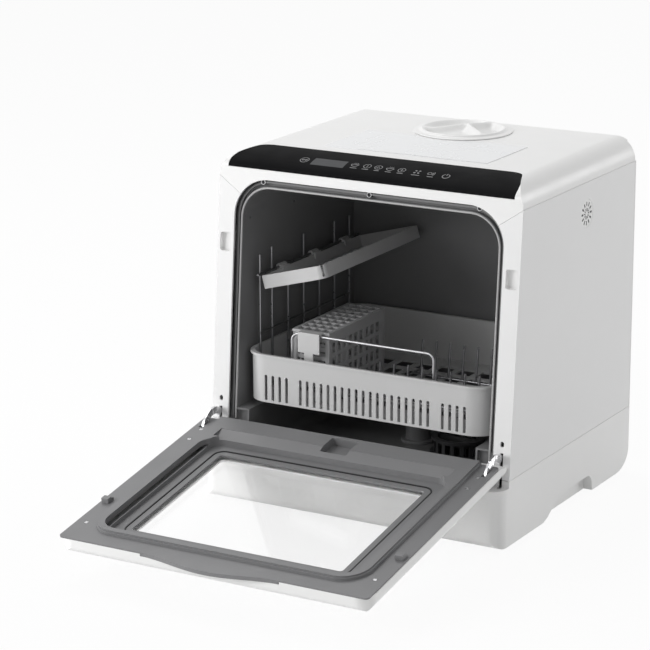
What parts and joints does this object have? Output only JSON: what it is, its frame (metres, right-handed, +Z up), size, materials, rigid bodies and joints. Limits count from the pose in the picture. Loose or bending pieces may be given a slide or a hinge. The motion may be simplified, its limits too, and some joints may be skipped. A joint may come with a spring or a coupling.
{
  "type": "countertop_dishwasher",
  "caption": "Free-standing countertop dishwasher with a drop-down glazed door, pull-out basket, folding cup shelf, cutlery basket and a water tank under a round cap.",
  "frame": {"origin": "on the counter, under the middle of the part with its door open", "axes": "+X to the right as seen from the front, +Y to the rear, +Z up"},
  "size_m": [0.42, 0.7206, 0.453],
  "materials": {
    "white_shell": "satin white moulded plastic",
    "side_metal": "smooth white coated sheet",
    "black_panel": "glossy black touch panel",
    "display": "dark display window",
    "circuit_board": "green board",
    "inlay_film": "thin clear film",
    "tub_grey": "dark grey moulded plastic",
    "seal_rubber": "dark soft rubber",
    "black_rubber": "black rubber",
    "steel": "bright steel",
    "black_plastic": "dark matte plastic",
    "tank_clear": "milky translucent plastic",
    "filter_grey": "dark grey plastic",
    "arm_grey": "mid grey plastic",
    "liner_grey": "mid grey plastic",
    "door_glass": "clear glass",
    "basket_grey": "light grey plastic",
    "cutlery_grey": "grey plastic",
    "washer_nylon": "natural nylon"
  },
  "bodies": {
    "cabinet": {"base_pan": "white_shell", "feet": "black_rubber", "left_side_panel": "side_metal", "right_side_panel": "side_metal", "rear_panel": "side_metal", "top_cover": "white_shell", "control_panel": "black_panel", "display_window": "display", "control_board": "circuit_board", "top_inlay": "inlay_film", "tub": "tub_grey", "door_seal": "seal_rubber", "flange_screws": "steel", "case_screws": "steel", "side_vent_grille": "white_shell", "fan_housing": "black_plastic", "water_tank": "tank_clear", "tank_collar": "white_shell", "sump": "tub_grey", "wash_pump": "black_plastic", "drain_pump": "black_plastic", "heater": "steel", "wash_pipe": "black_plastic", "spray_hub": "arm_grey", "hinge_posts": "steel", "latch_catches": "white_shell", "door_switch": "black_plastic", "inlet_valve": "washer_nylon", "drain_spigot": "black_plastic", "cord_gland": "black_rubber"},
    "door": {"door_shell": "white_shell", "door_liner": "liner_grey", "outer_glass": "door_glass", "inner_glass": "door_glass", "window_frame": "liner_grey", "window_gasket": "black_rubber", "latch_hooks": "liner_grey", "hinge_arms": "steel", "hinge_pins": "steel", "hinge_washers": "washer_nylon", "door_screws": "steel"},
    "basket": {"basket_tray": "basket_grey", "basket_glides": "basket_grey", "plate_rack": "steel", "front_rail": "steel", "shelf_posts": "steel"},
    "cup_shelf": {"cup_shelf": "basket_grey"},
    "cutlery": {"cutlery_basket": "cutlery_grey", "cutlery_lid": "cutlery_grey", "basket_clip": "basket_grey"},
    "filter": {"filter_cage": "filter_grey"},
    "spray": {"spray_arm": "arm_grey"},
    "fan": {"fan_rotor": "black_plastic"},
    "cap_seal": {"cap_seal": "black_rubber"},
    "cap": {"tank_cap": "white_shell"}
  },
  "joints": [
    {"name": "door_hinge", "type": "hinge", "parent": "cabinet", "child": "door", "pos_m": [0, -0.02093, 0.0972], "axis": [-1, 0, 0], "range_deg": [0, 104.7]},
    {"name": "basket_slide", "type": "slide", "parent": "cabinet", "child": "basket", "axis": [0, 1, 0], "range_m": [-0.2, 0]},
    {"name": "cup_shelf_fold", "type": "hinge", "parent": "basket", "child": "cup_shelf", "pos_m": [-0.1654, 0.16526, 0.2875], "axis": [0, -1, 0], "range_deg": [0, 68]},
    {"name": "cutlery_lift", "type": "slide", "parent": "basket", "child": "cutlery", "axis": [0, 0, -1], "range_m": [-0.05, 0]},
    {"name": "filter_twist", "type": "hinge", "parent": "cabinet", "child": "filter", "pos_m": [0.07, 0.13526, 0.06], "axis": [0, 0, 1], "range_deg": [0, 60]},
    {"name": "spray_arm_spin", "type": "hinge", "parent": "cabinet", "child": "spray", "pos_m": [0, 0.15726, 0.1], "axis": [0, 0, 1], "continuous": true},
    {"name": "fan_spin", "type": "hinge", "parent": "cabinet", "child": "fan", "pos_m": [0.192, 0.20126, 0.376], "axis": [1, 0, 0], "continuous": true},
    {"name": "cap_lift", "type": "slide", "parent": "cabinet", "child": "cap_seal", "axis": [0, 0, 1], "range_m": [0, 0.03]},
    {"name": "cap_turn", "type": "hinge", "parent": "cap_seal", "child": "cap", "pos_m": [0, 0.27626, 0.4465], "axis": [0, 0, 1], "range_deg": [0, 90]}
  ]
}
